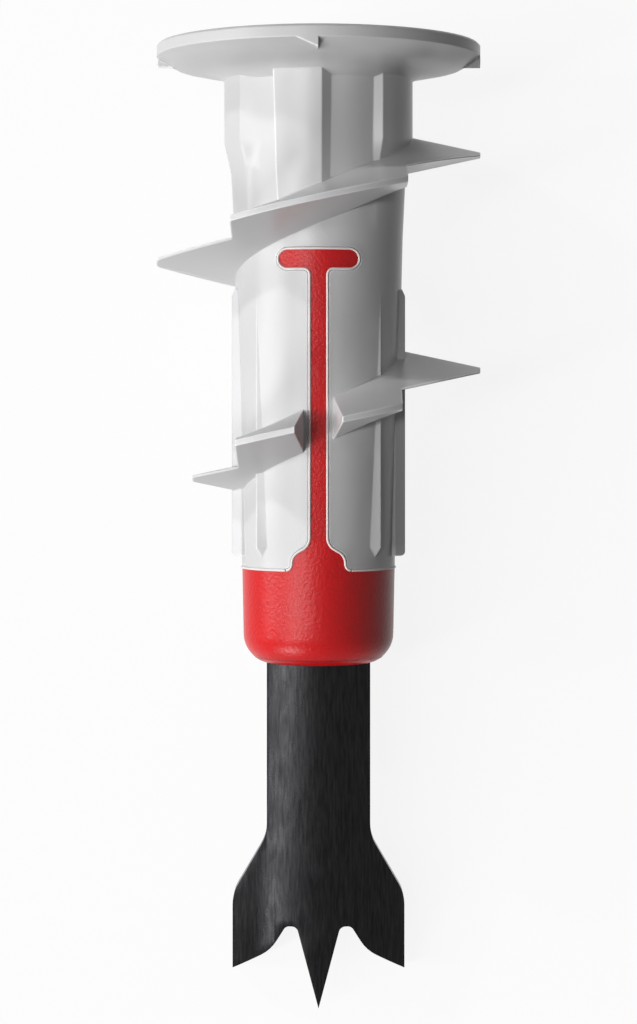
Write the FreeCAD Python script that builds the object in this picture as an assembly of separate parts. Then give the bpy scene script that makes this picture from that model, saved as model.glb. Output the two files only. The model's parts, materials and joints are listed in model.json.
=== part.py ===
import FreeCAD, Part
import math
import os

# Self-drilling drywall anchor, in millimetres.
# The anchor is modelled upright, its axis on Z and the outer face of its flange at Z 0. Depths are
# measured down from that face. The front is towards -Y, and angles run from the front towards +X.
# What is on the front half of the body comes again half a turn round. At the end the anchor is laid
# on its back, as it comes to rest, with its flange towards +Y and its front up.

# Flange
FLANGE_RADIUS = 7.4
RIM_THICKNESS = 0.56
RIM_CHAMFER = 0.1
UNDERSIDE_FOLD_RADIUS = 6.57
UNDERSIDE_FOLD_DEPTH = 1.02
UNDERSIDE_FOOT_RADIUS = 4.7
UNDERSIDE_FOOT_DEPTH = 1.4
NECK_DEPTH = 1.8
TOOTH_COUNT = 4
TOOTH_RAMP_LENGTH = 1.0

# Collar under the flange: a pad and a lobe on each half, which lock the anchor in the board
COLLAR_STRAIGHT_DEPTH = 4.5
COLLAR_TAPER_DEPTH = 5.9
COLLAR_END_DEPTH = 8.75
COLLAR_SINK = 0.05
PAD_RADIUS = 4.5
PAD_LOWER_RADIUS = 4.2
PAD_STEP_ANGLE = -27.0
PAD_END_ANGLE = 2.0
PAD_FALL_ANGLE = 9.0
LOBE_RADIUS = 4.31
LOBE_LOWER_RADIUS = 3.99
LOBE_FOOT_ANGLE = 37.0
LOBE_STEP_ANGLE = 42.0
LOBE_ROUND_END_ANGLE = 125.0

# Barrel, drafted towards its lower end
NECK_RADIUS = 4.02
SHOULDER_RADIUS = 3.8
SHOULDER_DEPTH = 11.2
BARREL_END_RADIUS = 3.49
BARREL_END_DEPTH = 23.85

# Ribs on the lower barrel
SIDE_RIB_REACH = 3.94
SIDE_RIB_CREST_WIDTH = 1.6
SIDE_RIB_FOOT_WIDTH = 2.3
SIDE_RIB_END_DEPTH = 23.3
SIDE_RIB_BEVEL = 0.3
SIDE_RIB_ROUNDING = 0.2
WEDGE_RIB_OFFSET = 2.8
WEDGE_RIB_INNER_OFFSET = 2.25
WEDGE_RIB_END_DEPTH = 22.84
WEDGE_RIB_TIP_DEPTH = 23.35

# Thread: a trapezoid fin on a right-hand helix
THREAD_PITCH = 9.85
THREAD_CREST_RADIUS = 7.4
THREAD_CREST_THICKNESS = 0.27
THREAD_FLANK_SLOPE = 0.214
THREAD_FRONT_DEPTH = 17.33
THREAD_START_ANGLE = -165.0
THREAD_START_SIDE_RADIUS = 5.7
THREAD_FULL_ANGLE = -8.0
THREAD_FADE_OVERRUN = 12.0
THREAD_FADE_ANGLE = 450.0
THREAD_FADE_RADIUS = 6.3
THREAD_END_ANGLE = 535.0
THREAD_GAP_ROOT = 1.32
THREAD_GAP_CREST = 2.06
THREAD_ROOT_SINK = 0.4

# Screw bore and cross drive recess
BORE_DIAMETER = 3.4
ENTRY_DIAMETER = 5.2
RECESS_DEPTH = 4.5
RECESS_SPAN = 6.0
RECESS_FOOT_SPAN = 4.0
RECESS_WING_WIDTH = 1.4

# Red T inlays, flush with the barrel, and the grooves round them
INLAY_WEB = 0.35
BAR_TOP_DEPTH = 9.49
BAR_HEIGHT = 0.91
BAR_LENGTH = 3.64
STEM_WIDTH = 0.8
STEM_FILLET = 0.27
STEM_SHOULDER_DEPTH = 22.72
STEM_SHOULDER_HEIGHT = 0.48
STEM_SHOULDER_ROUNDING = 0.6
STEM_FOOT_WIDTH = 2.4
STEM_FOOT_FLARE = 0.35
GROOVE_WIDTH = 0.07
GROOVE_DEPTH = 0.06

# Red end cap, flush with the barrel
CAP_WAIST_RADIUS = 3.42
CAP_WAIST_DEPTH = 27.4
CAP_ROUNDING = 1.3
CAP_END_DEPTH = 28.2
CAP_FACE_RADIUS = 2.7

# Drilling blade, stamped from sheet steel and arched towards the front
OVERALL_LENGTH = 44.0
BLADE_THICKNESS = 0.8
BLADE_ARCH_RADIUS = 6.0
BLADE_TANG_LENGTH = 3.4
SHANK_WIDTH = 4.74
WING_SPAN = 7.94
WING_LENGTH = 3.42
WING_SLOPE_LENGTH = 2.85
WING_ROUNDING = 2.0
WING_EDGE_ANGLE = 29.7
WING_EDGE_ROUNDING = 2.0
NOTCH_WIDTH = 0.5
NOTCH_FLARE = 0.7
NOTCH_ROUNDING = 0.3
POINT_ANGLE = 30.0
POINT_LENGTH = 3.72
POINT_LEAD = 1.58

# Shared directions and places
ORIGIN = FreeCAD.Vector(0, 0, 0)
UP = FreeCAD.Vector(0, 0, 1)
BACK = FreeCAD.Vector(0, 1, 0)
HALF_TURN = 180
SHORTEST_LINE = 1e-6
REACH = 2 * FLANGE_RADIUS
THREAD_ROOT_RADIUS = BARREL_END_RADIUS - THREAD_ROOT_SINK
FADE_SPAN = THREAD_PITCH / 4
WING_TIP_DEPTH = OVERALL_LENGTH - POINT_LEAD


def at(angle, radius, depth):
    """Point at an angle from the front, a radius and a depth."""
    turn = math.radians(angle)
    return FreeCAD.Vector(radius * math.sin(turn), -radius * math.cos(turn), -depth)


def thread_depth(angle):
    """Depth of the middle of the thread at an angle."""
    return THREAD_FRONT_DEPTH - THREAD_PITCH * angle / 360


def barrel_radius(depth):
    """Radius of the drafted barrel at a depth."""
    if depth < SHOULDER_DEPTH:
        share = (depth - NECK_DEPTH) / (SHOULDER_DEPTH - NECK_DEPTH)
        return NECK_RADIUS + share * (SHOULDER_RADIUS - NECK_RADIUS)
    share = (depth - SHOULDER_DEPTH) / (BARREL_END_DEPTH - SHOULDER_DEPTH)
    return SHOULDER_RADIUS + share * (BARREL_END_RADIUS - SHOULDER_RADIUS)


def outline(corners):
    """Face in the XZ plane through corners given as offset, depth and rounding."""
    count = len(corners)
    places = [FreeCAD.Vector(corner[0], 0, -corner[1]) for corner in corners]
    edges = []
    ends = []
    for index, here in enumerate(places):
        rounding = corners[index][2] if len(corners[index]) > 2 else 0
        before = (places[index - 1] - here).normalize()
        after = (places[(index + 1) % count] - here).normalize()
        if rounding == 0:
            ends.append((here, here))
            continue
        half = before.getAngle(after) / 2
        trim = rounding / math.tan(half)
        inwards = (before + after).normalize()
        start = here + before * trim
        end = here + after * trim
        middle = here + inwards * (rounding / math.sin(half) - rounding)
        edges.append(Part.Arc(start, middle, end).toShape())
        ends.append((start, end))
    for index in range(count):
        start = ends[index - 1][1]
        end = ends[index][0]
        if start.distanceToPoint(end) > SHORTEST_LINE:
            edges.append(Part.makeLine(start, end))
    return Part.Face(Part.Wire(Part.__sortEdges__(edges)))


def turned(corners):
    """Solid of revolution of an outline about the anchor's axis."""
    return outline(corners).revolve(ORIGIN, UP, 360)


def through(face):
    """Solid of a face in the XZ plane, drawn out through the whole anchor from front to back."""
    face.translate(BACK * -REACH)
    return face.extrude(BACK * 2 * REACH)


def frontwards(face):
    """Solid of a face in the XZ plane, drawn out from the axis to the front."""
    return face.extrude(BACK * -REACH)


def half_turned(shape):
    """The shape again, half a turn round."""
    copy = shape.copy()
    copy.rotate(ORIGIN, UP, HALF_TURN)
    return copy


def on_both_halves(shape):
    """The shape and its copy half a turn round."""
    return [shape, half_turned(shape)]


def flange():
    """Flange disc with its sloping underside, closed through to the neck."""
    return turned([
        (0, 0),
        (FLANGE_RADIUS - RIM_CHAMFER, 0),
        (FLANGE_RADIUS, RIM_CHAMFER),
        (FLANGE_RADIUS, RIM_THICKNESS),
        (UNDERSIDE_FOLD_RADIUS, UNDERSIDE_FOLD_DEPTH),
        (UNDERSIDE_FOOT_RADIUS, UNDERSIDE_FOOT_DEPTH),
        (NECK_RADIUS, NECK_DEPTH),
        (0, NECK_DEPTH),
    ])


def barrel():
    """Drafted barrel from the flange's underside to the end cap."""
    return turned([
        (0, 0),
        (barrel_radius(0), 0),
        (SHOULDER_RADIUS, SHOULDER_DEPTH),
        (BARREL_END_RADIUS, BARREL_END_DEPTH),
        (0, BARREL_END_DEPTH),
    ])


def teeth():
    """Ratchet teeth that fill the outer band of the underside, each with a ramp and a steep face."""
    ramp = outline([
        (-TOOTH_RAMP_LENGTH, RIM_THICKNESS),
        (-TOOTH_RAMP_LENGTH, RIM_CHAMFER),
        (0, RIM_CHAMFER),
        (0, UNDERSIDE_FOLD_DEPTH),
    ])
    ring = Part.makeCylinder(FLANGE_RADIUS, REACH, FreeCAD.Vector(0, 0, -REACH))
    ring = ring.cut(Part.makeCylinder(UNDERSIDE_FOOT_RADIUS, REACH, FreeCAD.Vector(0, 0, -REACH)))
    tooth = frontwards(ramp).common(ring)
    ring_of_teeth = []
    for index in range(TOOTH_COUNT):
        copy = tooth.copy()
        copy.rotate(ORIGIN, UP, index * 360 / TOOTH_COUNT)
        ring_of_teeth.append(copy)
    return ring_of_teeth


def collar_section(depth, pad, lobe):
    """Closed wire round the collar at a depth: two pads and two lobes on the barrel's radius."""
    foot = barrel_radius(depth) - COLLAR_SINK
    edges = []
    for half in (0, HALF_TURN):
        places = [
            at(half + PAD_STEP_ANGLE, foot, depth),
            at(half + PAD_STEP_ANGLE, pad, depth),
            at(half + PAD_END_ANGLE, pad, depth),
            at(half + PAD_FALL_ANGLE, foot, depth),
            at(half + LOBE_FOOT_ANGLE, foot, depth),
            at(half + LOBE_STEP_ANGLE, lobe, depth),
            at(half + LOBE_ROUND_END_ANGLE, lobe, depth),
            at(half + HALF_TURN + PAD_STEP_ANGLE, foot, depth),
        ]
        crowns = {
            1: at(half + (PAD_STEP_ANGLE + PAD_END_ANGLE) / 2, pad, depth),
            3: at(half + (PAD_FALL_ANGLE + LOBE_FOOT_ANGLE) / 2, foot, depth),
            5: at(half + (LOBE_STEP_ANGLE + LOBE_ROUND_END_ANGLE) / 2, lobe, depth),
        }
        for index in range(len(places) - 1):
            if index in crowns:
                edge = Part.Arc(places[index], crowns[index], places[index + 1]).toShape()
            else:
                edge = Part.makeLine(places[index], places[index + 1])
            edges.append(edge)
    return Part.Wire(edges)


def collar():
    """Collar with its pads and lobes, straight below the flange and then tapered into the barrel."""
    straight_share = COLLAR_STRAIGHT_DEPTH / COLLAR_TAPER_DEPTH
    pad_at_straight = PAD_RADIUS + straight_share * (PAD_LOWER_RADIUS - PAD_RADIUS)
    faded = barrel_radius(COLLAR_END_DEPTH)
    return Part.makeLoft([
        collar_section(UNDERSIDE_FOLD_DEPTH, PAD_RADIUS, LOBE_RADIUS),
        collar_section(COLLAR_STRAIGHT_DEPTH, pad_at_straight, LOBE_RADIUS),
        collar_section(COLLAR_TAPER_DEPTH, PAD_LOWER_RADIUS, LOBE_LOWER_RADIUS),
        collar_section(COLLAR_END_DEPTH, faded, faded),
    ], True, True)


def side_rib():
    """Rib on the +X side of the barrel, with slanting sides, a bevelled top and a rounded lower end."""
    root = THREAD_ROOT_RADIUS
    foot = BARREL_END_RADIUS
    top = FreeCAD.Vector(0, 0, -SHOULDER_DEPTH)
    half_crest = SIDE_RIB_CREST_WIDTH / 2
    half_foot = SIDE_RIB_FOOT_WIDTH / 2
    section = Part.Face(Part.makePolygon([
        FreeCAD.Vector(root, -half_foot, 0) + top,
        FreeCAD.Vector(foot, -half_foot, 0) + top,
        FreeCAD.Vector(SIDE_RIB_REACH, -half_crest, 0) + top,
        FreeCAD.Vector(SIDE_RIB_REACH, half_crest, 0) + top,
        FreeCAD.Vector(foot, half_foot, 0) + top,
        FreeCAD.Vector(root, half_foot, 0) + top,
        FreeCAD.Vector(root, -half_foot, 0) + top,
    ]))
    length = SIDE_RIB_END_DEPTH - SHOULDER_DEPTH
    bevelled = through(outline([
        (root, SHOULDER_DEPTH),
        (SHOULDER_RADIUS, SHOULDER_DEPTH),
        (SIDE_RIB_REACH, SHOULDER_DEPTH + SIDE_RIB_BEVEL),
        (SIDE_RIB_REACH, SIDE_RIB_END_DEPTH, SIDE_RIB_ROUNDING),
        (root, SIDE_RIB_END_DEPTH),
    ]))
    return section.extrude(UP * -length).common(bevelled)


def wedge_rib():
    """Rib of constant section on the front right, which the barrel's draft lays bare downwards."""
    apex_reach = math.sqrt(SHOULDER_RADIUS ** 2 - WEDGE_RIB_OFFSET ** 2)
    inner_reach = math.sqrt(BARREL_END_RADIUS ** 2 - WEDGE_RIB_INNER_OFFSET ** 2)
    tip_offset = (WEDGE_RIB_OFFSET + WEDGE_RIB_INNER_OFFSET) / 2
    tip_reach = math.sqrt(BARREL_END_RADIUS ** 2 - tip_offset ** 2)
    start = -SHOULDER_DEPTH
    apex = FreeCAD.Vector(WEDGE_RIB_OFFSET, -apex_reach, start)
    inner = FreeCAD.Vector(WEDGE_RIB_INNER_OFFSET, -inner_reach, start)
    heel = FreeCAD.Vector(WEDGE_RIB_OFFSET, -inner_reach / 2, start)
    tip = FreeCAD.Vector(tip_offset, -tip_reach, -WEDGE_RIB_TIP_DEPTH)
    length = WEDGE_RIB_END_DEPTH - SHOULDER_DEPTH
    prism = Part.Face(Part.makePolygon([apex, inner, heel, apex])).extrude(UP * -length)
    low = [corner + UP * -length for corner in (apex, inner, heel)]
    faces = [Part.Face(Part.makePolygon([low[0], low[1], low[2], low[0]]))]
    for index in range(3):
        faces.append(Part.Face(Part.makePolygon([low[index], low[index - 1], tip, low[index]])))
    point = Part.makeSolid(Part.makeShell(faces))
    return prism.fuse(point)


def wedge_ribs():
    """The four wedge ribs, one in each quarter."""
    right = wedge_rib()
    left = right.mirror(ORIGIN, FreeCAD.Vector(1, 0, 0))
    return on_both_halves(right) + on_both_halves(left)


def fin_half(radius):
    """Half the thickness of the thread fin at a radius."""
    return THREAD_CREST_THICKNESS / 2 + THREAD_FLANK_SLOPE * (THREAD_CREST_RADIUS - radius)


def helix_fin():
    """The whole fin before any trimming, swept along the helix."""
    root_half = fin_half(THREAD_ROOT_RADIUS)
    crest_half = fin_half(THREAD_CREST_RADIUS)
    height = THREAD_PITCH * (THREAD_END_ANGLE - THREAD_START_ANGLE) / 360
    helix = Part.makeHelix(THREAD_PITCH, height, THREAD_CREST_RADIUS)
    section = Part.makePolygon([
        FreeCAD.Vector(THREAD_ROOT_RADIUS, 0, -root_half),
        FreeCAD.Vector(THREAD_CREST_RADIUS, 0, -crest_half),
        FreeCAD.Vector(THREAD_CREST_RADIUS, 0, crest_half),
        FreeCAD.Vector(THREAD_ROOT_RADIUS, 0, root_half),
        FreeCAD.Vector(THREAD_ROOT_RADIUS, 0, -root_half),
    ])
    fin = Part.Wire(helix.Edges).makePipeShell([section], True, True)
    fin.rotate(ORIGIN, UP, THREAD_START_ANGLE - 90)
    fin.translate(UP * -thread_depth(THREAD_START_ANGLE))
    return fin


def side_profile(angle, crest_radius):
    """The fin's profile at one side of the barrel, drawn out from front to back."""
    side = math.sin(math.radians(angle))
    middle = thread_depth(angle)
    crest_half = fin_half(THREAD_CREST_RADIUS)
    root_half = fin_half(THREAD_ROOT_RADIUS + THREAD_CREST_RADIUS - crest_radius)
    return through(outline([
        (side * THREAD_ROOT_RADIUS, middle + root_half),
        (side * crest_radius, middle + crest_half),
        (side * crest_radius, middle - crest_half),
        (side * THREAD_ROOT_RADIUS, middle - root_half),
    ]))


def mould_space():
    """What the two mould halves leave of the fin: all of it before and behind the barrel, and at
    each side only the fin's side profile drawn out from front to back."""
    slab = through(outline([
        (-barrel_radius(0), 0),
        (barrel_radius(0), 0),
        (SHOULDER_RADIUS, SHOULDER_DEPTH),
        (BARREL_END_RADIUS, BARREL_END_DEPTH),
        (-BARREL_END_RADIUS, BARREL_END_DEPTH),
        (-SHOULDER_RADIUS, SHOULDER_DEPTH),
    ]))
    profiles = [side_profile(-90, THREAD_START_SIDE_RADIUS)]
    angle = 90
    while angle < THREAD_END_ANGLE:
        profiles.append(side_profile(angle, THREAD_CREST_RADIUS))
        angle += HALF_TURN
    return slab.fuse(profiles)


def outside_round(first, second, third, top, bottom, angle):
    """What lies outside a round through three points, on the side of the axis before an angle."""
    circle = Part.Circle(first, second, third)
    centre = circle.Center
    block = Part.makeBox(REACH, 2 * REACH, bottom - top, FreeCAD.Vector(-REACH, -REACH, -bottom))
    block.rotate(ORIGIN, UP, angle)
    centre.z = -bottom
    return block.cut(Part.makeCylinder(circle.Radius, bottom - top, centre))


def start_fade():
    """Cutter that lets the thread grow out of the barrel at its lower end."""
    foot = barrel_radius(thread_depth(THREAD_START_ANGLE))
    return outside_round(
        at(THREAD_START_ANGLE, foot, 0),
        at(-90, THREAD_START_SIDE_RADIUS, 0),
        at(THREAD_FULL_ANGLE, THREAD_CREST_RADIUS, 0),
        THREAD_FRONT_DEPTH - FADE_SPAN,
        BARREL_END_DEPTH,
        THREAD_FULL_ANGLE - THREAD_FADE_OVERRUN,
    )


def end_fade():
    """Cutter that lets the thread sink into the barrel behind its upper end."""
    foot = barrel_radius(thread_depth(THREAD_END_ANGLE))
    return outside_round(
        at(THREAD_FADE_ANGLE, THREAD_CREST_RADIUS, 0),
        at((THREAD_FADE_ANGLE + THREAD_END_ANGLE) / 2, THREAD_FADE_RADIUS, 0),
        at(THREAD_END_ANGLE, foot, 0),
        0,
        thread_depth(THREAD_FADE_ANGLE) + FADE_SPAN,
        THREAD_FADE_ANGLE - HALF_TURN,
    )


def gap_reach():
    """Distance of the crest's end from the middle plane, at the edge of the gap."""
    return math.sqrt(THREAD_CREST_RADIUS ** 2 - (THREAD_GAP_CREST / 2) ** 2)


def stem_gap():
    """Cutter for the gap that the thread leaves round the front stem, wider at the crest."""
    top = BAR_TOP_DEPTH + BAR_HEIGHT
    root = BARREL_END_RADIUS
    spread = (THREAD_GAP_CREST - THREAD_GAP_ROOT) / (gap_reach() - root)
    outer_gap = THREAD_GAP_ROOT + spread * (REACH - root)
    section = Part.makePolygon([
        FreeCAD.Vector(-THREAD_GAP_ROOT / 2, 0, -top),
        FreeCAD.Vector(-THREAD_GAP_ROOT / 2, -root, -top),
        FreeCAD.Vector(-outer_gap / 2, -REACH, -top),
        FreeCAD.Vector(outer_gap / 2, -REACH, -top),
        FreeCAD.Vector(THREAD_GAP_ROOT / 2, -root, -top),
        FreeCAD.Vector(THREAD_GAP_ROOT / 2, 0, -top),
        FreeCAD.Vector(-THREAD_GAP_ROOT / 2, 0, -top),
    ])
    return Part.Face(section).extrude(UP * (top - BARREL_END_DEPTH))


def thread():
    """Thread fin as the mould leaves it, with its fading ends and the gaps at the stems."""
    fin = helix_fin().common(mould_space())
    return fin.cut([start_fade(), end_fade()] + on_both_halves(stem_gap()))


def screw_bore():
    """Bore for the screw, from the flange's face through to the end cap."""
    bore = BORE_DIAMETER / 2
    return turned([
        (0, 0),
        (ENTRY_DIAMETER / 2, 0),
        (bore, RECESS_DEPTH),
        (bore, BARREL_END_DEPTH),
        (0, BARREL_END_DEPTH),
    ])


def drive_recess():
    """Cross recess for the driver, its four wings narrowing downwards."""
    wings = outline([
        (-RECESS_SPAN / 2, 0),
        (RECESS_SPAN / 2, 0),
        (RECESS_FOOT_SPAN / 2, RECESS_DEPTH),
        (-RECESS_FOOT_SPAN / 2, RECESS_DEPTH),
    ])
    wings.translate(BACK * -RECESS_WING_WIDTH / 2)
    pair = wings.extrude(BACK * RECESS_WING_WIDTH)
    across = pair.copy()
    across.rotate(ORIGIN, UP, 90)
    return pair.fuse(across)


def inlay_outline():
    """Outline of one T from its bar down to its flared foot in the end cap."""
    bar_bottom = BAR_TOP_DEPTH + BAR_HEIGHT
    bar_half = BAR_LENGTH / 2
    end_rounding = BAR_HEIGHT / 2
    stem_half = STEM_WIDTH / 2
    foot_half = STEM_FOOT_WIDTH / 2
    right = [
        (bar_half, BAR_TOP_DEPTH, end_rounding),
        (bar_half, bar_bottom, end_rounding),
        (stem_half, bar_bottom, STEM_FILLET),
        (stem_half, STEM_SHOULDER_DEPTH, STEM_SHOULDER_ROUNDING),
        (foot_half, STEM_SHOULDER_DEPTH + STEM_SHOULDER_HEIGHT, STEM_SHOULDER_ROUNDING),
        (foot_half, BARREL_END_DEPTH, STEM_FOOT_FLARE - GROOVE_WIDTH),
        (foot_half + STEM_FOOT_FLARE, BARREL_END_DEPTH, 0),
        (foot_half + STEM_FOOT_FLARE, BARREL_END_DEPTH + STEM_FOOT_FLARE, 0),
    ]
    left = [(-offset, depth, rounding) for offset, depth, rounding in reversed(right)]
    return outline(right + left)


def inlay():
    """Front T, flush with the barrel and with a flat back that leaves a web round the bore."""
    face = inlay_outline()
    face.translate(BACK * -(BORE_DIAMETER / 2 + INLAY_WEB))
    return frontwards(face).common(barrel())


def joint_groove():
    """Fine groove in the barrel's skin round the front T."""
    wide = inlay_outline().makeOffset2D(GROOVE_WIDTH)
    skin = barrel().cut(barrel_core(GROOVE_DEPTH))
    return frontwards(wide).common(skin)


def barrel_core(wall):
    """The barrel less a wall of even thickness."""
    return turned([
        (0, 0),
        (barrel_radius(0) - wall, 0),
        (SHOULDER_RADIUS - wall, SHOULDER_DEPTH),
        (BARREL_END_RADIUS - wall, BARREL_END_DEPTH),
        (0, BARREL_END_DEPTH),
    ])


def anchor_body():
    """Grey moulded body."""
    additions = [barrel(), collar(), thread()] + teeth() + on_both_halves(side_rib()) + wedge_ribs()
    body = flange().fuse(additions)
    cutters = on_both_halves(joint_groove()) + on_both_halves(inlay())
    return body.cut(cutters + [screw_bore(), drive_recess()]).removeSplitter()


def end_cap():
    """Rounded cap under the barrel."""
    return turned([
        (0, BARREL_END_DEPTH),
        (BARREL_END_RADIUS, BARREL_END_DEPTH),
        (CAP_WAIST_RADIUS, CAP_WAIST_DEPTH, CAP_ROUNDING),
        (CAP_FACE_RADIUS, CAP_END_DEPTH),
        (0, CAP_END_DEPTH),
    ])


def expansion_insert(blade):
    """Red component: the end cap with the blade's tang moulded in, and the two T inlays."""
    return end_cap().fuse(on_both_halves(inlay())).cut(blade).removeSplitter()


def blade_outline():
    """Outline of the flat blade from its tang down to its point."""
    shank_half = SHANK_WIDTH / 2
    wing_half = WING_SPAN / 2
    slope_end = WING_TIP_DEPTH - WING_LENGTH
    notch_depth = OVERALL_LENGTH - POINT_LENGTH
    point_half = POINT_LENGTH * math.tan(math.radians(POINT_ANGLE / 2))
    notch_end = point_half + NOTCH_WIDTH
    edge_start = notch_end + NOTCH_FLARE
    edge_rise = (wing_half - edge_start) * math.tan(math.radians(WING_EDGE_ANGLE))
    right = [
        (shank_half, CAP_END_DEPTH - BLADE_TANG_LENGTH, 0),
        (shank_half, slope_end - WING_SLOPE_LENGTH, WING_ROUNDING),
        (wing_half, slope_end, WING_ROUNDING),
        (wing_half, WING_TIP_DEPTH, 0),
        (edge_start, WING_TIP_DEPTH - edge_rise, WING_EDGE_ROUNDING),
        (notch_end, notch_depth, NOTCH_ROUNDING),
        (point_half, notch_depth, NOTCH_ROUNDING),
    ]
    left = [(-offset, depth, rounding) for offset, depth, rounding in reversed(right)]
    return outline(right + [(0, OVERALL_LENGTH, 0)] + left)


def cutting_blade():
    """Arched steel blade, its sheet centred on the axis at the point."""
    axis = FreeCAD.Vector(0, BLADE_ARCH_RADIUS - BLADE_THICKNESS / 2, -OVERALL_LENGTH)
    outer = Part.makeCylinder(BLADE_ARCH_RADIUS, OVERALL_LENGTH, axis)
    inner = Part.makeCylinder(BLADE_ARCH_RADIUS - BLADE_THICKNESS, OVERALL_LENGTH, axis)
    flat = blade_outline()
    flat.translate(BACK * -BLADE_THICKNESS)
    return flat.extrude(BACK * BLADE_ARCH_RADIUS).common(outer.cut(inner))


def back_crest(side):
    """Corner of the thread's crest at the gap behind the barrel, on one side."""
    half_gap = THREAD_GAP_CREST / 2
    angle = HALF_TURN - side * math.degrees(math.asin(half_gap / THREAD_CREST_RADIUS))
    depth = thread_depth(angle) + THREAD_CREST_THICKNESS / 2
    return FreeCAD.Vector(side * half_gap, gap_reach(), -depth)


def back_wing_tip():
    """Rear corner of the blade's left wing tip."""
    inner_arch = BLADE_ARCH_RADIUS - BLADE_THICKNESS
    middle = BLADE_ARCH_RADIUS - BLADE_THICKNESS / 2
    reach = middle - math.sqrt(inner_arch ** 2 - (WING_SPAN / 2) ** 2)
    return FreeCAD.Vector(-WING_SPAN / 2, reach, -WING_TIP_DEPTH)


def rest_turn():
    """Turn that sets the two back crest corners and the wing tip on level ground."""
    left = back_crest(-1)
    down = (back_crest(1) - left).cross(back_wing_tip() - left).normalize()
    up = down * -1
    along = (UP - up * UP.dot(up)).normalize()
    across = along.cross(up)
    return FreeCAD.Matrix(
        across.x, across.y, across.z, 0,
        along.x, along.y, along.z, 0,
        up.x, up.y, up.z, 0,
        0, 0, 0, 1,
    )


def laid_down(nodes):
    """The nodes as they lie, with the ground at Z 0 and the anchor's middle over the origin."""
    turn = rest_turn()
    lying = {name: shape.transformed(turn) for name, shape in nodes.items()}
    box = Part.makeCompound(list(lying.values())).optimalBoundingBox(False)
    ground = turn.multVec(back_wing_tip()).z
    shift = FreeCAD.Vector(-box.Center.x, -box.Center.y, -ground)
    for shape in lying.values():
        shape.translate(shift)
    return lying


def main():
    blade = cutting_blade()
    nodes = {
        "anchor_body": anchor_body(),
        "expansion_insert": expansion_insert(blade),
        "cutting_blade": blade,
    }
    os.makedirs("parts", exist_ok=True)
    for name, shape in laid_down(nodes).items():
        shape.exportStep(os.path.join("parts", name + ".step"))


if __name__ == "__main__":
    main()
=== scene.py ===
import json
import math

import bmesh
import bpy
from bpy.props import FloatProperty, FloatVectorProperty, PointerProperty
from mathutils import Matrix, Vector


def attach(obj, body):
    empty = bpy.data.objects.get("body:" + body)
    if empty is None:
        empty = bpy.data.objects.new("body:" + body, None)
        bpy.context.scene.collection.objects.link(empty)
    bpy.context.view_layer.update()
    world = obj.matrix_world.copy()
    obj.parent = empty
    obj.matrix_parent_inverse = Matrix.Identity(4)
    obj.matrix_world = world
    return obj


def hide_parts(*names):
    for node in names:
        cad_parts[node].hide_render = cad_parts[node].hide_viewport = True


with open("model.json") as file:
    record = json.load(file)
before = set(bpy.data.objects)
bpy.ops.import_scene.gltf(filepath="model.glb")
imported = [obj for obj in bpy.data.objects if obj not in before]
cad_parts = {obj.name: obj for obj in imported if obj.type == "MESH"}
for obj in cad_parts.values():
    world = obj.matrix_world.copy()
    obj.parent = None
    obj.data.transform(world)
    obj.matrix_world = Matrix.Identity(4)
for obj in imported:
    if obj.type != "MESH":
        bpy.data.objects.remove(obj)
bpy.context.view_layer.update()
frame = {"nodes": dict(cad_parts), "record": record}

bl_info = {
    "name": "Self-drilling Drywall Anchor",
    "version": (1, 0, 0),
    "blender": (4, 5, 0),
    "location": "3D View > Sidebar > Drywall Anchor",
    "description": "A moulded drywall anchor with its red insert and steel drilling blade, "
                   "in a small studio",
    "category": "Add Mesh",
}

MM = 0.001

# The anchor lies on its back. Its own directions come from the places of its mounts: AXIS runs from the
# point to the flange, FRONT looks up from the table, and depths are measured from the flange's face.
MOUNTS = {mount["name"]: mount for mount in frame["record"]["mounts"]}
BORE_MIDDLE_DEPTH = 14.175 * MM
AXIS = Vector(MOUNTS["screw_bore"]["axis"]).normalized()
FLANGE_CENTRE = Vector(MOUNTS["screw_bore"]["pos_m"]) + AXIS * BORE_MIDDLE_DEPTH
FRONT = (Vector(MOUNTS["flange_face"]["pos_m"]) - FLANGE_CENTRE).normalized()
RIGHT = AXIS.cross(FRONT)
PLACE = Matrix((RIGHT, -FRONT, AXIS)).transposed().to_4x4()
PLACE.translation = FLANGE_CENTRE

# Sizes of the solids that the finer pieces follow: the drafted barrel, the foot of the red inlay, the
# cap's flat end, the upper end of the blade's tang, and the blade's arch with its two faces and its axis
BARREL_TOP_RADIUS = 3.8 * MM
BARREL_TOP_DEPTH = 11.2 * MM
BARREL_END_RADIUS = 3.49 * MM
BARREL_END_DEPTH = 23.85 * MM
JOINT_FLARE_OFFSET = 1.56 * MM
CAP_FACE_RADIUS = 2.7 * MM
TANG_DEPTH = 24.8 * MM
ARCH_RADII = (6 * MM, 5.2 * MM)
ARCH_AXIS_OFFSET = 5.6 * MM

# Fields of the arch: planes through its axis in whole degrees, and rows in whole millimetres of depth
ARCH_ANGLES = range(-46, 47, 2)
ARCH_ROW_DEPTHS = range(26, 44)

# How far a corner may lie from the face that it belongs to, and corners from each other that are one
SKIN_TOLERANCE = 0.012 * MM
MERGE_DISTANCE = 0.002 * MM

# Angles under which faces count as flat, as smooth on each material, and over which an edge is sharp
FLAT_ANGLE = math.radians(0.2)
MOULDED_SMOOTH_ANGLE = math.radians(24)
STEEL_SMOOTH_ANGLE = math.radians(35)
BEAD_SMOOTH_ANGLE = math.radians(50)
JOINT_SHARP_ANGLE = math.radians(35)
STAMPED_SHARP_ANGLE = math.radians(40)
CAP_SEGMENTS = 6
STAMPED_SEGMENTS = 3

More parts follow.
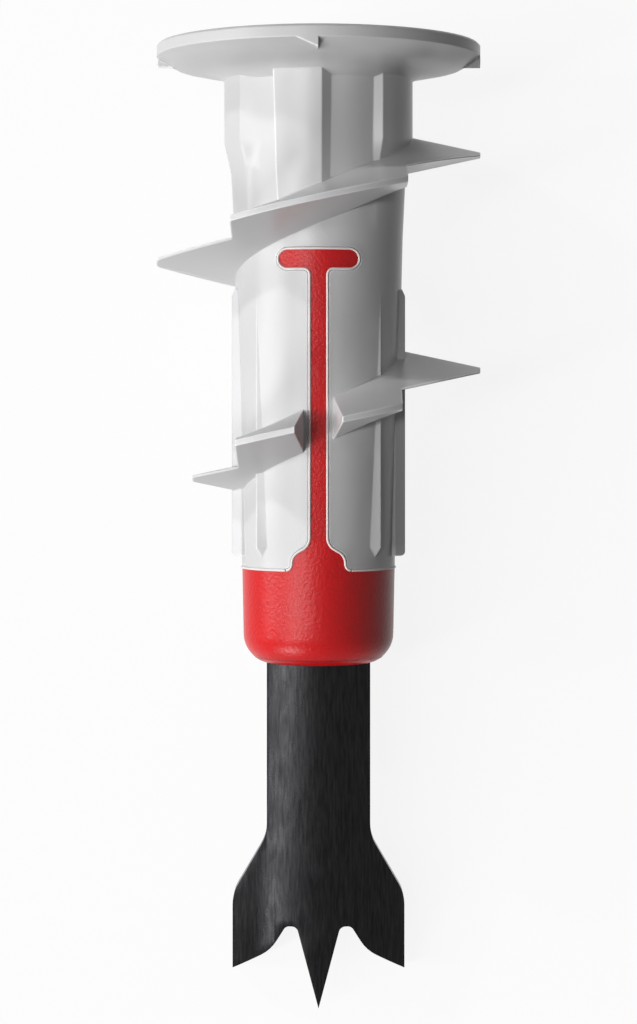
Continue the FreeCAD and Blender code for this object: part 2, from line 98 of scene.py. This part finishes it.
# Lamps: name, turn and rise in degrees, width and height in metres, and the level that each follows. All
# stand at one distance in metres from the middle of the anchor.
LAMPS = (
    ("key_lamp", -62, -50, 0.15, 0.25, "key"),
    ("gleam_strip", -72, 0, 0.05, 0.5, "gleam"),
    ("sheen_strip", -29, -5, 0.04, 0.4, "sheen"),
    ("spot_lamp", -64, 42, 0.035, 0.035, "spot"),
)
LAMP_DISTANCE = 0.5
LAMP_AIM = Vector((0, 0, 8 * MM))
FLOOR_WIDTH = 4

# Camera: its place, its lens and sensor in millimetres, and by how many of the photo's 1024 rows the
# picture is shifted down
CAMERA_DISTANCE = 128 * MM
CAMERA_DEPTH = 17.13 * MM
CAMERA_LENS = 65.51
CAMERA_SENSOR = 24
PHOTO_ROWS = 1024
SHIFTED_ROWS = 92


def colour(code):
    """Linear red, green and blue of an sRGB hex code."""
    channels = [int(code[start:start + 2], 16) / 255 for start in (1, 3, 5)]
    return tuple(c / 12.92 if c <= 0.04045 else ((c + 0.055) / 1.055) ** 2.4 for c in channels)


def across(size):
    """Texture scale at which a pattern repeats about once in a size in millimetres."""
    return 1 / (size * MM)


class AnchorSizes(bpy.types.PropertyGroup):
    """Sizes of the anchor's fine forms"""

    edge_radius: FloatProperty(
        name="Moulded edge radius", description="Rounding of the moulded plastic's edges",
        default=0.1 * MM, min=0, soft_max=0.3 * MM, precision=6, unit="LENGTH")
    stamped_radius: FloatProperty(
        name="Stamped edge radius", description="Rollover that stamping leaves along the blade's edges",
        default=0.07 * MM, min=0, soft_max=0.2 * MM, precision=6, unit="LENGTH")
    cap_radius: FloatProperty(
        name="Cap end radius", description="Rounding of the red cap's lower edge",
        default=0.4 * MM, min=0, soft_max=0.6 * MM, precision=6, unit="LENGTH")
    bead_radius: FloatProperty(
        name="Joint bead radius", description="Radius of the fine bead where grey and red plastic meet",
        default=0.06 * MM, min=0.01 * MM, soft_max=0.15 * MM, precision=6, unit="LENGTH")


class AnchorColours(bpy.types.PropertyGroup):
    """Colours of the anchor's materials"""

    body: FloatVectorProperty(
        name="Body", description="Grey moulded plastic", subtype="COLOR", size=3, min=0, max=1,
        default=colour("#BCBCBD"))
    insert: FloatVectorProperty(
        name="Insert", description="Red moulded plastic", subtype="COLOR", size=3, min=0, max=1,
        default=colour("#BE1115"))
    # The joint bead's pale colour is painted highlight, for the light line along the joint
    bead: FloatVectorProperty(
        name="Joint bead", description="Pale plastic squeezed out along the joint", subtype="COLOR",
        size=3, min=0, max=1, default=colour("#D2CBC9"))
    steel: FloatVectorProperty(
        name="Blade", description="Blackened spring steel", subtype="COLOR", size=3, min=0, max=1,
        default=colour("#1B1B1C"))


class StudioLevels(bpy.types.PropertyGroup):
    """Light in the studio, where 1 lights a surface that faces the lamp to its own colour"""

    key: FloatProperty(
        name="Key", description="Level of the broad lamp at the lower left",
        default=0.62, min=0, soft_max=3)
    gleam: FloatProperty(
        name="Gleam", description="Level of the tall strip at the left, which the plastic mirrors",
        default=0.6, min=0, soft_max=3)
    sheen: FloatProperty(
        name="Sheen", description="Level of the narrow strip that draws the blade's sheen",
        default=0.6, min=0, soft_max=3)
    spot: FloatProperty(
        name="Spot", description="Level of the small lamp at the upper left",
        default=0.3, min=0, soft_max=3)
    room: FloatProperty(
        name="Room", description="Level of the light from all round",
        default=0.03, min=0, soft_max=2)
    shadow: FloatProperty(
        name="Shadow", description="How much of its shadow the white floor shows",
        default=0.12, min=0, max=1, subtype="FACTOR")


def pick(piece):
    """Leaves one object selected and active."""
    bpy.ops.object.select_all(action="DESELECT")
    piece.select_set(True)
    bpy.context.view_layer.objects.active = piece


def merge_corners():
    """Joins the corners of the active piece that lie on each other."""
    bpy.ops.object.mode_set(mode="EDIT")
    bpy.ops.mesh.select_all(action="SELECT")
    bpy.ops.mesh.remove_doubles(threshold=MERGE_DISTANCE)
    bpy.ops.object.mode_set(mode="OBJECT")


def merged_copy(node, name):
    """A copy of a CAD node whose triangles share their corners."""
    piece = bpy.data.objects.new(name, frame["nodes"][node].data.copy())
    piece.data.name = name
    piece.data.materials.clear()
    bpy.context.scene.collection.objects.link(piece)
    pick(piece)
    bpy.ops.mesh.customdata_custom_splitnormals_clear()
    merge_corners()
    return piece


def barrel_radius(depth):
    """Radius of the drafted barrel at a depth below the flange's face."""
    share = (depth - BARREL_TOP_DEPTH) / (BARREL_END_DEPTH - BARREL_TOP_DEPTH)
    return BARREL_TOP_RADIUS + share * (BARREL_END_RADIUS - BARREL_TOP_RADIUS)


def reach_and_depth(point):
    """Distance of a point from the anchor's axis, and its depth below the flange's face."""
    place = PLACE.inverted() @ point
    return math.hypot(place.x, place.y), -place.z


def on_joint(point):
    """True where a point of the red insert lies on the line along which it meets the grey body's skin."""
    reach, depth = reach_and_depth(point)
    if abs(depth - BARREL_END_DEPTH) < SKIN_TOLERANCE:
        return reach > BARREL_END_RADIUS - SKIN_TOLERANCE
    return depth < BARREL_END_DEPTH and abs(reach - barrel_radius(depth)) < SKIN_TOLERANCE


def across_foot(first, second):
    """True where an edge on the cap's rim crosses the foot of one of the red inlays."""
    places = [PLACE.inverted() @ point for point in (first, second)]
    level = all(abs(-place.z - BARREL_END_DEPTH) < SKIN_TOLERANCE for place in places)
    return level and abs(places[0].x + places[1].x) / 2 < JOINT_FLARE_OFFSET


def in_cap_face(face):
    """True for a face of the cap's flat end, and for one of the slot that the blade's tang fills."""
    places = [reach_and_depth(corner.co) for corner in face.verts]
    return all(reach < CAP_FACE_RADIUS + SKIN_TOLERANCE and depth > TANG_DEPTH - SKIN_TOLERANCE
               for reach, depth in places)


def round_cap(piece, radius):
    """Rounds the cap's lower edge, after its flat end is closed, and slots it again for the blade."""
    bpy.ops.object.mode_set(mode="EDIT")
    bpy.ops.mesh.select_mode(type="FACE")
    bpy.ops.mesh.select_all(action="DESELECT")
    mesh = bmesh.from_edit_mesh(piece.data)
    for face in mesh.faces:
        face.select_set(in_cap_face(face))
    bmesh.update_edit_mesh(piece.data)
    bpy.ops.mesh.delete(type="FACE")
    bpy.ops.mesh.select_mode(type="EDGE")
    bpy.ops.mesh.select_non_manifold(use_multi_face=False, use_non_contiguous=False, use_verts=False)
    bpy.ops.mesh.edge_face_add()
    bpy.ops.mesh.bevel(offset=radius, segments=CAP_SEGMENTS, affect="EDGES")
    bpy.ops.object.mode_set(mode="OBJECT")
    blade = merged_copy("cutting_blade", "slot_cutter")
    pick(piece)
    slot = piece.modifiers.new("blade_slot", "BOOLEAN")
    slot.operation = "DIFFERENCE"
    slot.solver = "EXACT"
    slot.object = blade
    bpy.ops.object.modifier_apply(modifier=slot.name)
    bpy.data.objects.remove(blade)


def even_arch(piece):
    """Cuts the blade's arch into small even fields and sets their corners on its true round faces, so
    that the sheen runs smoothly over it."""
    centre = FLANGE_CENTRE - FRONT * ARCH_AXIS_OFFSET
    bpy.ops.object.mode_set(mode="EDIT")
    bpy.ops.mesh.select_all(action="SELECT")
    bpy.ops.mesh.dissolve_limited(angle_limit=FLAT_ANGLE)
    for angle in ARCH_ANGLES:
        turn = math.radians(angle)
        across_plane = RIGHT * math.cos(turn) - FRONT * math.sin(turn)
        bpy.ops.mesh.select_all(action="SELECT")
        bpy.ops.mesh.bisect(plane_co=centre, plane_no=across_plane)
    for depth in ARCH_ROW_DEPTHS:
        bpy.ops.mesh.select_all(action="SELECT")
        bpy.ops.mesh.bisect(plane_co=FLANGE_CENTRE - AXIS * depth * MM, plane_no=AXIS)
    mesh = bmesh.from_edit_mesh(piece.data)
    for corner in mesh.verts:
        place = PLACE.inverted() @ corner.co
        reach = math.hypot(place.x, place.y - ARCH_AXIS_OFFSET)
        for radius in ARCH_RADII:
            if abs(reach - radius) < SKIN_TOLERANCE:
                place.x *= radius / reach
                place.y = ARCH_AXIS_OFFSET + (place.y - ARCH_AXIS_OFFSET) * radius / reach
                corner.co = PLACE @ place
    bmesh.update_edit_mesh(piece.data)
    bpy.ops.object.mode_set(mode="OBJECT")


def finish_piece(piece, material, slot, *nodes):
    """Gives a piece its material, ties it to the anchor and hides the nodes that it stands for."""
    piece.data.materials.append(material)
    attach(piece, "root")
    if nodes:
        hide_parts(*nodes)


def add_node(tree, kind, inputs=None, **settings):
    """One shader node with its settings. An input is given a value, or the output that feeds it."""
    node = tree.nodes.new("ShaderNode" + kind)
    for name, value in settings.items():
        setattr(node, name, value)
    for name, value in (inputs or {}).items():
        if isinstance(value, bpy.types.NodeSocket):
            tree.links.new(value, node.inputs[name])
        else:
            node.inputs[name].default_value = value
    return node


def new_material(name):
    """An empty node material and its node tree."""
    material = bpy.data.materials.new(name)
    material.use_nodes = True
    material.node_tree.nodes.clear()
    return material, material.node_tree


def upright(tree):
    """Coordinates in the anchor's own frame, with Z along its axis and its front towards -Y."""
    coordinates = add_node(tree, "TexCoord")
    turned = add_node(tree, "Mapping", {
        "Vector": coordinates.outputs["Object"],
        "Location": PLACE.translation,
        "Rotation": PLACE.to_euler(),
    }, vector_type="TEXTURE")
    return turned.outputs["Vector"]


def mixed(tree, factor, first, second):
    """Colour between two, by a factor. A colour is red, green and blue, or the output that feeds it. The
    node's colour sockets share their names with others, so they are picked by their places."""
    node = add_node(tree, "Mix", {"Factor": factor}, data_type="RGBA")
    for place, tone in ((6, first), (7, second)):
        if isinstance(tone, bpy.types.NodeSocket):
            tree.links.new(tone, node.inputs[place])
        else:
            node.inputs[place].default_value = (*tone, 1)
    return node.outputs[2]


def shaded(base, factor):
    """A colour made lighter or darker."""
    return tuple(min(1, channel * factor) for channel in base)


def grey_moulded_nylon(sizes, colours):
    """Injection-moulded nylon from a fine spark-eroded mould: an even satin grey with hardly any grain.
    Its edges are painted paler, as a painted highlight along them. The real grain of about 0.03 mm is too
    fine to show and is drawn at 0.16 mm."""
    material, tree = new_material("injection_moulded_grey_nylon")
    place = upright(tree)
    cloud = add_node(tree, "TexNoise", {"Vector": place, "Scale": across(3), "Detail": 2.0})
    grain = add_node(tree, "TexNoise", {"Vector": place, "Scale": across(0.16), "Detail": 2.0})
    edge = add_node(tree, "Bevel", {"Radius": sizes.edge_radius}, samples=8)
    relief = add_node(tree, "Bump", {
        "Height": grain.outputs["Fac"], "Distance": 0.004 * MM, "Strength": 0.35,
        "Normal": edge.outputs["Normal"],
    })
    gloss = add_node(tree, "MapRange", {"Value": cloud.outputs["Fac"], "To Min": 0.26, "To Max": 0.34})
    # Painted highlight: the colour turns paler along the body's convex edges and thin parts, where the
    # inside closes in
    depth = add_node(tree, "AmbientOcclusion", {"Distance": 1.2 * sizes.edge_radius}, samples=8,
                     inside=True, only_local=True)
    painted_edge_highlight = add_node(tree, "MapRange", {"Value": depth.outputs["AO"], "From Min": 0.85, "From Max": 0.5})
    tone = mixed(tree, cloud.outputs["Fac"], shaded(colours.body, 0.96), shaded(colours.body, 1.03))
    skin = add_node(tree, "BsdfPrincipled", {
        "Base Color": mixed(tree, painted_edge_highlight.outputs["Result"], tone, shaded(colours.body, 1.6)),
        "Roughness": gloss.outputs["Result"],
        "IOR": 1.5,
        "Specular IOR Level": 0.3,
        "Normal": relief.outputs["Normal"],
    })
    add_node(tree, "OutputMaterial", {"Surface": skin.outputs["BSDF"]})
    return material


def red_moulded_nylon(sizes, colours):
    """Injection-moulded nylon from a coarser eroded mould: a strong red whose grain of some 0.15 mm
    breaks up its highlight, with a little light that passes under its skin."""
    material, tree = new_material("injection_moulded_red_nylon")
    place = upright(tree)
    cloud = add_node(tree, "TexNoise", {"Vector": place, "Scale": across(0.9), "Detail": 3.0})
    grain = add_node(tree, "TexNoise", {"Vector": place, "Scale": across(0.14), "Detail": 3.0})
    edge = add_node(tree, "Bevel", {"Radius": sizes.edge_radius}, samples=8)
    relief = add_node(tree, "Bump", {
        "Height": grain.outputs["Fac"], "Distance": 0.02 * MM, "Strength": 1.0,
        "Normal": edge.outputs["Normal"],
    })
    gloss = add_node(tree, "MapRange", {"Value": cloud.outputs["Fac"], "To Min": 0.27, "To Max": 0.35})
    skin = add_node(tree, "BsdfPrincipled", {
        "Base Color": mixed(tree, cloud.outputs["Fac"], shaded(colours.insert, 0.92),
                            shaded(colours.insert, 1.06)),
        "Roughness": gloss.outputs["Result"],
        "IOR": 1.5,
        "Specular IOR Level": 0.22,
        "Subsurface Weight": 0.4,
        "Subsurface Radius": (1.0, 0.12, 0.1),
        "Subsurface Scale": 1 * MM,
        "Normal": relief.outputs["Normal"],
    })
    add_node(tree, "OutputMaterial", {"Surface": skin.outputs["BSDF"]})
    return material


def pale_bead_nylon(colours):
    """The body's nylon in a fine bead along the joint, smooth and a little glossy, and pale as a painted
    highlight.
    """
    material, tree = new_material("pale_bead_painted_highlight")
    place = upright(tree)
    cloud = add_node(tree, "TexNoise", {"Vector": place, "Scale": across(0.8), "Detail": 1.0})
    skin = add_node(tree, "BsdfPrincipled", {
        "Base Color": mixed(tree, cloud.outputs["Fac"], shaded(colours.bead, 0.9),
                            shaded(colours.bead, 1.08)),
        "Roughness": 0.35,
        "IOR": 1.5,
    })
    add_node(tree, "OutputMaterial", {"Surface": skin.outputs["BSDF"]})
    return material


def blackened_spring_steel(colours):
    """Spring steel strip, blackened and then stamped: near black, with fine drawing marks along the strip
    and a patchy sheen where the black is rubbed. The real marks lie some 0.03 mm apart, too fine to show,
    and are drawn at 0.1 mm."""
    material, tree = new_material("blackened_drawn_spring_steel")
    place = upright(tree)
    drawn = add_node(tree, "VectorMath", {0: place, 1: (1.0, 1.0, 0.1)}, operation="MULTIPLY")
    marks = add_node(tree, "TexNoise", {
        "Vector": drawn.outputs["Vector"], "Scale": across(0.1), "Detail": 4.0, "Roughness": 0.65,
    })
    rubbed = add_node(tree, "VectorMath", {0: place, 1: (1.0, 1.0, 0.45)}, operation="MULTIPLY")
    patches = add_node(tree, "TexNoise", {
        "Vector": rubbed.outputs["Vector"], "Scale": across(0.6), "Detail": 3.0,
    })
    share = add_node(tree, "MapRange", {"Value": marks.outputs["Fac"], "From Min": 0.36, "From Max": 0.7})
    gloss = add_node(tree, "MapRange", {
        "Value": patches.outputs["Fac"],
        "From Min": 0.35, "From Max": 0.65, "To Min": 0.34, "To Max": 0.24,
    })
    relief = add_node(tree, "Bump", {
        "Height": marks.outputs["Fac"], "Distance": 0.004 * MM, "Strength": 0.5,
    })
    skin = add_node(tree, "BsdfPrincipled", {
        "Base Color": mixed(tree, share.outputs["Result"], shaded(colours.steel, 0.8),
                            shaded(colours.steel, 1.6)),
        "Metallic": 1.0,
        "Roughness": gloss.outputs["Result"],
        "Normal": relief.outputs["Normal"],
    })
    add_node(tree, "OutputMaterial", {"Surface": skin.outputs["BSDF"]})
    return material


class ANCHOR_OT_moulded_body(bpy.types.Operator):
    """Makes the grey moulded body with its flange, collar, ribs and thread"""

    bl_idname = "drywall_anchor.moulded_body"
    bl_label = "Moulded Body"
    bl_options = {"REGISTER", "UNDO"}

    def execute(self, context):
        piece = merged_copy("anchor_body", "moulded_body")
        bpy.ops.object.shade_smooth_by_angle(angle=MOULDED_SMOOTH_ANGLE)
        scene = context.scene
        material = grey_moulded_nylon(scene.anchor_sizes, scene.anchor_colours)
        finish_piece(piece, material, "grey_plastic", "anchor_body")
        return {"FINISHED"}


class ANCHOR_OT_red_insert(bpy.types.Operator):
    """Makes the red insert with its two inlaid T shapes and its end cap"""

    bl_idname = "drywall_anchor.red_insert"
    bl_label = "Red Insert"
    bl_options = {"REGISTER", "UNDO"}

    def execute(self, context):
        scene = context.scene
        piece = merged_copy("expansion_insert", "red_insert")
        round_cap(piece, scene.anchor_sizes.cap_radius)
        bpy.ops.object.shade_smooth_by_angle(angle=MOULDED_SMOOTH_ANGLE)
        material = red_moulded_nylon(scene.anchor_sizes, scene.anchor_colours)
        finish_piece(piece, material, "red_plastic", "expansion_insert")
        return {"FINISHED"}


class ANCHOR_OT_drilling_blade(bpy.types.Operator):
    """Makes the arched steel blade with the rolled edges that stamping leaves"""

    bl_idname = "drywall_anchor.drilling_blade"
    bl_label = "Drilling Blade"
    bl_options = {"REGISTER", "UNDO"}

    def execute(self, context):
        piece = merged_copy("cutting_blade", "drilling_blade")
        even_arch(piece)
        bevel = piece.modifiers.new("stamped_edges", "BEVEL")
        bevel.width = context.scene.anchor_sizes.stamped_radius
        bevel.segments = STAMPED_SEGMENTS
        bevel.limit_method = "ANGLE"
        bevel.angle_limit = STAMPED_SHARP_ANGLE
        bpy.ops.object.modifier_apply(modifier=bevel.name)
        bpy.ops.object.shade_smooth_by_angle(angle=STEEL_SMOOTH_ANGLE)
        sheen = piece.modifiers.new("even_sheen", "WEIGHTED_NORMAL")
        sheen.keep_sharp = True
        bpy.ops.object.modifier_apply(modifier=sheen.name)
        finish_piece(piece, blackened_spring_steel(context.scene.anchor_colours), "blackened_steel",
                     "cutting_blade")
        return {"FINISHED"}


class ANCHOR_OT_joint_bead(bpy.types.Operator):
    """Makes the fine bead along the joint of the red insert and the grey body, pale as a painted
    highlight
    """

    bl_idname = "drywall_anchor.joint_bead"
    bl_label = "Joint Bead"
    bl_options = {"REGISTER", "UNDO"}

    def execute(self, context):
        piece = merged_copy("expansion_insert", "joint_bead")
        bpy.ops.object.mode_set(mode="EDIT")
        bpy.ops.mesh.select_mode(type="EDGE")
        bpy.ops.mesh.select_all(action="DESELECT")
        bpy.ops.mesh.edges_select_sharp(sharpness=JOINT_SHARP_ANGLE)
        mesh = bmesh.from_edit_mesh(piece.data)
        for edge in mesh.edges:
            first, second = (corner.co for corner in edge.verts)
            if not (on_joint(first) and on_joint(second)) or across_foot(first, second):
                edge.select_set(False)
        bmesh.update_edit_mesh(piece.data)
        bpy.ops.mesh.duplicate()
        bpy.ops.mesh.select_all(action="INVERT")
        bpy.ops.mesh.delete(type="VERT")
        bpy.ops.object.mode_set(mode="OBJECT")
        bpy.ops.object.convert(target="CURVE")
        piece = context.object
        piece.data.bevel_depth = context.scene.anchor_sizes.bead_radius
        piece.data.bevel_resolution = 2
        piece.data.use_fill_caps = True
        bpy.ops.object.convert(target="MESH")
        piece = context.object
        merge_corners()
        bpy.ops.object.shade_smooth_by_angle(angle=BEAD_SMOOTH_ANGLE)
        finish_piece(piece, pale_bead_nylon(context.scene.anchor_colours), "grey_plastic")
        return {"FINISHED"}


def studio_lamp(name, turn, rise, width, height, level):
    """Area lamp aimed at the anchor's middle from LAMP_DISTANCE, its place given by angles in the
    anchor's own frame: the turn from the front to the right, and the rise towards the flange. Its power
    is such that a level of 1 lights a surface that faces it to that surface's own colour."""
    turn = math.radians(turn)
    rise = math.radians(rise)
    towards = FRONT * math.cos(turn) * math.cos(rise) + RIGHT * math.sin(turn) * math.cos(rise)
    towards += AXIS * math.sin(rise)
    bpy.ops.object.light_add(type="AREA", location=LAMP_AIM + towards * LAMP_DISTANCE)
    lamp = bpy.context.object
    lamp.name = name
    lamp.rotation_euler = towards.to_track_quat("Z", "Y").to_euler()
    lamp.data.shape = "RECTANGLE"
    lamp.data.size = width
    lamp.data.size_y = height
    lamp.data.energy = level * (math.pi * LAMP_DISTANCE) ** 2
    lamp.visible_camera = False


def seen_rays(tree):
    """1 for rays that come from the camera, a mirror or glass, else 0."""
    path = add_node(tree, "LightPath")
    first = add_node(tree, "Math", {0: path.outputs["Is Camera Ray"], 1: path.outputs["Is Glossy Ray"]},
                     operation="MAXIMUM")
    both = add_node(tree, "Math", {0: first.outputs["Value"], 1: path.outputs["Is Transmission Ray"]},
                    operation="MAXIMUM")
    return both.outputs["Value"]


def white_floor_paper(levels):
    """Matt photographer's paper: pale, with a white sheet's glow for the camera and for mirrors, and with
    a share of the anchor's shadow."""
    material, tree = new_material("matt_white_floor_paper")
    seen = seen_rays(tree)
    tone = mixed(tree, seen, colour("#6E6E6C"), colour("#F4F4F2"))
    paper = add_node(tree, "BsdfDiffuse", {"Color": tone})
    glow = add_node(tree, "Emission", {"Color": (1, 1, 1, 1), "Strength": 1.0})
    share = add_node(tree, "Math", {0: seen, 1: 1 - levels.shadow}, operation="MULTIPLY")
    skin = add_node(tree, "MixShader", {0: share.outputs["Value"], 1: paper.outputs["BSDF"],
                                        2: glow.outputs["Emission"]})
    add_node(tree, "OutputMaterial", {"Surface": skin.outputs["Shader"]})
    return material


def studio_world(levels):
    """White all round for the camera and for reflections, and a low even light for the rest."""
    world = bpy.data.worlds.new("studio_room")
    world.use_nodes = True
    tree = world.node_tree
    tree.nodes.clear()
    seen = seen_rays(tree)
    strength = add_node(tree, "MapRange", {"Value": seen, "To Min": levels.room, "To Max": 1.0})
    room = add_node(tree, "Background", {"Color": (1, 1, 1, 1), "Strength": strength.outputs["Result"]})
    add_node(tree, "OutputWorld", {"Surface": room.outputs["Background"]})
    bpy.context.scene.world = world


def add_camera():
    """Camera straight before the anchor's front, where the photo's perspective puts it."""
    place = FLANGE_CENTRE + FRONT * CAMERA_DISTANCE - AXIS * CAMERA_DEPTH
    bpy.ops.object.camera_add(location=place)
    camera = bpy.context.object
    camera.name = "photo_camera"
    camera.rotation_euler = Matrix((RIGHT, AXIS, FRONT)).transposed().to_euler()
    camera.data.sensor_fit = "VERTICAL"
    camera.data.sensor_height = CAMERA_SENSOR
    camera.data.lens = CAMERA_LENS
    camera.data.shift_y = -SHIFTED_ROWS / PHOTO_ROWS
    camera.data.clip_start = 10 * MM
    camera.data.clip_end = 10
    bpy.context.scene.camera = camera


class ANCHOR_OT_studio(bpy.types.Operator):
    """Sets out the pale floor, the lamps, the room light and the camera"""

    bl_idname = "drywall_anchor.studio"
    bl_label = "Studio"
    bl_options = {"REGISTER", "UNDO"}

    def execute(self, context):
        levels = context.scene.anchor_studio
        bpy.ops.object.select_all(action="DESELECT")
        bpy.ops.mesh.primitive_plane_add(size=FLOOR_WIDTH)
        floor = context.object
        floor.name = "floor_paper"
        floor.data.materials.append(white_floor_paper(levels))
        for name, turn, rise, width, height, level in LAMPS:
            studio_lamp(name, turn, rise, width, height, getattr(levels, level))
        studio_world(levels)
        add_camera()
        context.scene.view_settings.view_transform = "Standard"
        return {"FINISHED"}


class ANCHOR_PT_sidebar(bpy.types.Panel):
    """The anchor's operators, sizes and colours"""

    bl_idname = "ANCHOR_PT_sidebar"
    bl_label = "Drywall Anchor"
    bl_space_type = "VIEW_3D"
    bl_region_type = "UI"
    bl_category = "Drywall Anchor"

    def draw(self, context):
        scene = context.scene
        for group in (scene.anchor_sizes, scene.anchor_colours, scene.anchor_studio):
            box = self.layout.box()
            for name in group.bl_rna.properties.keys():
                if name not in ("rna_type", "name"):
                    box.prop(group, name)
        for operator in OPERATORS:
            self.layout.operator(operator.bl_idname)


GROUPS = (AnchorSizes, AnchorColours, StudioLevels)
OPERATORS = (
    ANCHOR_OT_moulded_body,
    ANCHOR_OT_red_insert,
    ANCHOR_OT_drilling_blade,
    ANCHOR_OT_joint_bead,
    ANCHOR_OT_studio,
)


def register():
    for item in (*GROUPS, *OPERATORS, ANCHOR_PT_sidebar):
        bpy.utils.register_class(item)
    bpy.types.Scene.anchor_sizes = PointerProperty(type=AnchorSizes)
    bpy.types.Scene.anchor_colours = PointerProperty(type=AnchorColours)
    bpy.types.Scene.anchor_studio = PointerProperty(type=StudioLevels)


def unregister():
    del bpy.types.Scene.anchor_studio
    del bpy.types.Scene.anchor_colours
    del bpy.types.Scene.anchor_sizes
    for item in reversed((*GROUPS, *OPERATORS, ANCHOR_PT_sidebar)):
        bpy.utils.unregister_class(item)


def main():
    register()
    bpy.ops.drywall_anchor.moulded_body()
    bpy.ops.drywall_anchor.red_insert()
    bpy.ops.drywall_anchor.drilling_blade()
    bpy.ops.drywall_anchor.joint_bead()
    bpy.ops.drywall_anchor.studio()


if __name__ == "__main__":
    main()
